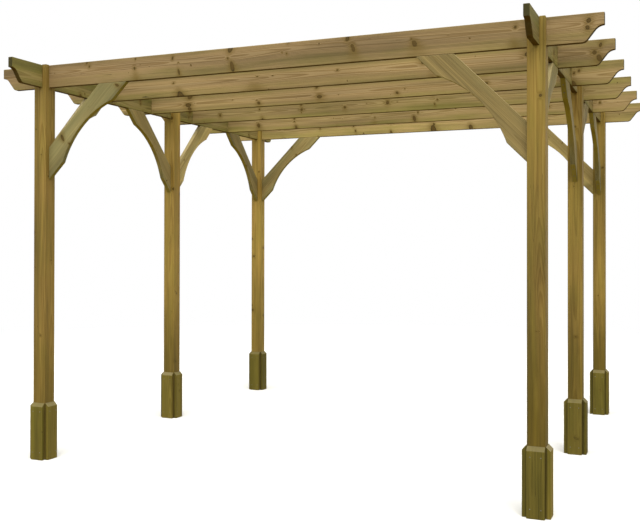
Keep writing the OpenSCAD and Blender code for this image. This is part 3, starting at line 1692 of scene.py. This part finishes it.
# Timbers that were picked for their knots and colour.
PICKED: dict[str, LogPlace] = {
    # Its low tone darkens the front rafter as a painted shade, beside its pinker wood.
    "rafter_1": LogPlace(
        start=15.64,
        pith=(0.008, 0.024),
        tone=-0.30,
        sap=-0.2,
        knots=(-1.144, -0.825, -0.548, -0.205, 0.143, 0.518, 0.870, 1.354, 1.720),
    ),
    "rafter_2": LogPlace(
        start=24.82,
        pith=(0.012, 0.004),
        tone=0.35,
        sap=0.3,
        knots=(-1.480, -0.925, -0.361, 0.239, 0.778, 1.350),
    ),
    "rafter_3": LogPlace(
        start=37.06,
        pith=(0.016, -0.010),
        tone=0.5,
        sap=0.6,
        knots=(-1.690, -1.139, -0.640, -0.148, 0.426, 0.980, 1.500),
    ),
}


@dataclass
class Pergola:
    """The whole pergola: posts, foot boards, roof timbers, braces and fixings.

    Attributes:
        work: Places from the frame.
        woods: The woods, by finish.
    """

    HEARTED = LogRange(0.004, 0.022, 0.02)  # Posts hold the pith.
    HALVED = LogRange(0.0, 0.035, 0.03)
    QUARTERED = LogRange(0.025, 0.05, 0.03)  # Braces lie well off it.

    work: Timberwork
    woods: dict[Finish, bpy.types.Material] = field(default_factory=dict)

    def build(self) -> None:
        """Makes, dresses and fixes every piece to its body."""
        self.woods = {slot: wood.material() for slot, wood in WOODS.items()}
        for row, side in product(ROWS, SIDES):
            self._post(row, side)
        nails = self._foot_boards()
        crossings = self._roof()
        screws = self._braces()
        zinc = ZincFinish().material()
        for fixings in (
            Fixings("foot_nails", Head.NAIL, nails),
            Fixings("brace_screws", Head.SCREW, screws),
            Fixings("rafter_screws", Head.SCREW, crossings),
        ):
            self._keep(fixings.build(zinc))

    def _keep(self, piece: bpy.types.Object, node: str = "") -> None:
        """Fixes a piece to the body, hides the node that it stands for, and says which node that
        is.
        """
        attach(piece, BODY)
        if node:
            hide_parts(node)
        faces = len(piece.data.polygons)
        LOG.info("%s: %d faces, stands for %s", piece.name, faces, node or "no node")

    def _post(self, row: str, side: str) -> None:
        """Makes one post."""
        node = f"post_{row}_{side}"
        log = LogPlace.drawn(node, self.HEARTED)
        post = Post(node, self.work, corner=row != "middle", log=log)
        self._keep(post.build(self.woods[Finish.POST]), node)

    def _foot_boards(self) -> list[Aim]:
        """Makes the boards round the six feet, and says where their nails go."""
        nails = []
        for row, side in product(ROWS, SIDES):
            boards = FootBoards(f"foot_boards_{row}_{side}", self.work)
            self._keep(boards.build(self.woods[Finish.FOOT]), boards.node)
            nails += boards.nail_points()
        return nails

    def _roof(self) -> list[Aim]:
        """Makes the beams and rafters, and says where the screws go over the crossings."""
        rafters = [f"rafter_{number}" for number in range(1, 7)]
        beams = [f"side_beam_{side}" for side in SIDES]
        lines = {name: (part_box(name)[0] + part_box(name)[1]) / 2 for name in rafters + beams}
        scroll = Scroll()
        for names, across, from_below in ((beams, rafters, False), (rafters, beams, True)):
            axis = 1 if names is beams else 0
            crossings = [lines[name][axis] for name in across]
            for name in names:
                log = PICKED.get(name) or LogPlace.drawn(name, self.HALVED)
                log = replace(log, pitch=WOODS[Finish.TIMBER].whorls.pitch)
                timber = RoofTimber(name, self.work, scroll, crossings, from_below, log)
                self._keep(timber.build(self.woods[Finish.TIMBER]), name)
        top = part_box("rafter_1")[1].z
        return [
            (Vector((lines[beam].x, lines[rafter].y, top)), Z_AXIS)
            for beam in beams
            for rafter in rafters
        ]

    def _braces(self) -> list[Aim]:
        """Makes the twelve braces, and says where their screws go."""
        low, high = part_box("brace_front_left_rafter")
        pattern = BracePattern(reach=high.x - low.x, thickness=high.y - low.y)
        maker = pattern.maker(self.woods[Finish.BRACE])
        screws = []
        for node, post, out in self._brace_kinds():
            log = LogPlace.drawn(node, self.QUARTERED)
            brace = KneeBrace(node, self.work, pattern, plan_middle(post), out, log)
            self._keep(brace.build(maker), node)
            screws += brace.screw_points()
        return screws

    @staticmethod
    def _brace_kinds() -> Iterable[tuple[str, str, Vector]]:
        """Lists each brace's node, its post's node, and the way it leans out."""
        ways = {"front": -Y_AXIS, "rear": Y_AXIS}
        for side, inward in zip(SIDES, (X_AXIS, -X_AXIS)):
            for row, other in (("front", "rear"), ("rear", "front")):
                post = f"post_{row}_{side}"
                yield f"brace_{row}_{side}_rafter", post, inward
                yield f"brace_{row}_{side}_beam", post, ways[other]
            for way, towards in ways.items():
                yield f"brace_middle_{side}_{way}", f"post_middle_{side}", towards


# ---------------------------------------------------------------- the studio


@dataclass(frozen=True)
class Viewpoint:
    """Where the camera stands and how it is turned, in metres and radians.

    Attributes:
        place: Where it stands.
        yaw: How far it is turned to the left.
        pitch: How far it looks up.
        roll: How far it leans to the left.
        lens: Focal length, in millimetres.
        shift: How far the view is moved, in its own widths.
        sensor: Width of the sensor, in millimetres.
        reach: The nearest and the furthest that it sees.
    """

    place: tuple[float, float, float] = (2.1983, -5.9858, 1.2955)
    yaw: float = 0.4146
    pitch: float = 0.0071
    roll: float = -0.0016
    lens: float = 51.46
    shift: Point2 = (0.0350, -0.0348)
    sensor: float = 36.0
    reach: Point2 = (0.1, 400.0)

    def build(self) -> None:
        """Makes the camera and gives it to the scene."""
        data = bpy.data.cameras.new("camera")
        data.sensor_width = self.sensor
        data.lens = self.lens
        data.shift_x, data.shift_y = self.shift
        data.clip_start, data.clip_end = self.reach
        camera = add_object("camera", data)
        turn = Matrix.Rotation(self.yaw, 4, "Z")
        rise = Matrix.Rotation(QUARTER_TURN + self.pitch, 4, "X")
        lean = Matrix.Rotation(-self.roll, 4, "Z")
        camera.matrix_world = Matrix.Translation(self.place) @ turn @ rise @ lean
        bpy.context.scene.camera = camera


@dataclass(frozen=True)
class Lamp:
    """A broad soft light, the same all over the pergola.

    Attributes:
        name: Name of the light.
        azimuth: Where it stands, in degrees from the front towards the right.
        height: How high it stands, in degrees.
        spread: How broad it is, in degrees.
        power: How strong it is, in watts on each square metre.
        colour: Its colour.
        away: How far off it is drawn, which changes nothing in its light.
    """

    name: str
    azimuth: float
    height: float
    spread: float
    power: float
    colour: Colour
    away: float = 8.0

    def build(self) -> None:
        """Makes the light."""
        data = bpy.data.lights.new(self.name, "SUN")
        data.angle = math.radians(self.spread)
        data.energy = self.power
        data.color = self.colour
        lamp = add_object(self.name, data)
        turn, rise = math.radians(self.azimuth), math.radians(self.height)
        flat = math.cos(rise)
        towards = Vector((math.sin(turn) * flat, -math.cos(turn) * flat, math.sin(rise)))
        lamp.location = towards * self.away
        lamp.rotation_euler = towards.to_track_quat("Z", "Y").to_euler()


@dataclass(frozen=True)
class Studio:
    """A pale floor that runs into a pale room, with soft light.

    Attributes:
        room: Colour of the room above the horizon.
        ground: Colour of the light from below it.
        horizon: Where the one passes into the other, by the slope looked along.
        floor: Radius of the floor.
        drop: How far the floor lies under the pergola's feet.
        fade: Where the floor starts to fade into the room, and where it is gone.
        speckle: Speckles to the metre on the floor.
        pale: The floor's two colours.
        lamps: The lights.
    """

    room: Colour = (1.0, 1.0, 1.0)
    ground: Colour = (0.28, 0.24, 0.07)
    horizon: Point2 = (-0.12, -0.03)
    floor: float = 60.0
    drop: float = 0.001
    fade: Point2 = (2.5, 9.0)
    speckle: float = 14.0
    pale: tuple[Colour, Colour] = (srgb(236, 236, 233), srgb(226, 226, 223))
    lamps: tuple[Lamp, ...] = (
        Lamp("key", 26.0, 46.0, 50.0, 1.4, (1.0, 0.96, 0.88)),
        Lamp("fill", -50.0, 25.0, 70.0, 0.25, (0.98, 0.99, 1.0)),
        Lamp("top", 0.0, 82.0, 60.0, 0.9, (1.0, 0.98, 0.93)),
    )

    def build(self) -> None:
        """Makes the world, the floor and the lights."""
        scene = bpy.context.scene
        scene.view_settings.view_transform = "Standard"
        scene.view_settings.look = "None"
        tree = Shader(bpy.data.worlds.new("studio"))
        scene.world = tree.owner
        direction = tree.node("ShaderNodeTexCoord").outputs["Generated"]
        height = tree.split(direction)[2]
        seen = tree.node("ShaderNodeLightPath").outputs["Is Camera Ray"]
        above = height.ease(*self.horizon).highest(Signal(tree, seen))
        colour = tree.blend(above, self.ground, self.room)
        background = tree.node("ShaderNodeBackground", {"Color": colour, "Strength": 1.0})
        tree.node("ShaderNodeOutputWorld", {"Surface": background.outputs[0]})
        self._floor()
        for lamp in self.lamps:
            lamp.build()

    def _floor(self) -> None:
        """Makes the floor, which fades into the room far from the pergola."""
        body = bmesh.new()
        bmesh.ops.create_circle(body, cap_ends=True, segments=96, radius=self.floor)
        mesh = mesh_from(body, "floor")
        floor = add_object("floor", mesh)
        floor.location.z = -self.drop
        tree = Shader(bpy.data.materials.new("pale_floor"))
        x, y, _ = tree.split(tree.place)
        away = (x * x + y * y).root()
        speckle = tree.noise(tree.join(x * self.speckle, y * self.speckle, 0.0), 4.0)
        colour = tree.blend(speckle, *self.pale)
        matt = tree.node("ShaderNodeBsdfDiffuse", {"Color": colour, "Roughness": 1.0})
        glow = tree.node("ShaderNodeEmission", {"Color": self.room, "Strength": 1.0})
        faded = {0: away.ease(*self.fade), 1: matt.outputs[0], 2: glow.outputs[0]}
        mixed = tree.node("ShaderNodeMixShader", faded)
        below = tree.node("ShaderNodeNewGeometry").outputs["Backfacing"]
        clear = tree.node("ShaderNodeBsdfTransparent")
        sides = {0: below, 1: mixed.outputs[0], 2: clear.outputs[0]}
        sided = tree.node("ShaderNodeMixShader", sides)
        tree.node("ShaderNodeOutputMaterial", {"Surface": sided.outputs[0]})
        mesh.materials.append(tree.owner)
        floor.visible_diffuse = False
        floor.visible_glossy = False


def corners(box: tuple[Vector, Vector]) -> list[list[float]]:
    """A box's two corners as plain lists."""
    return [list(corner) for corner in box]


def main() -> None:
    """Builds the pergola round its frame, then the studio."""
    logging.basicConfig(level=logging.INFO, format="%(name)s: %(message)s")
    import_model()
    Viewpoint().build()
    Pergola(Timberwork.read()).build()
    Studio().build()


if __name__ == "__main__":
    main()
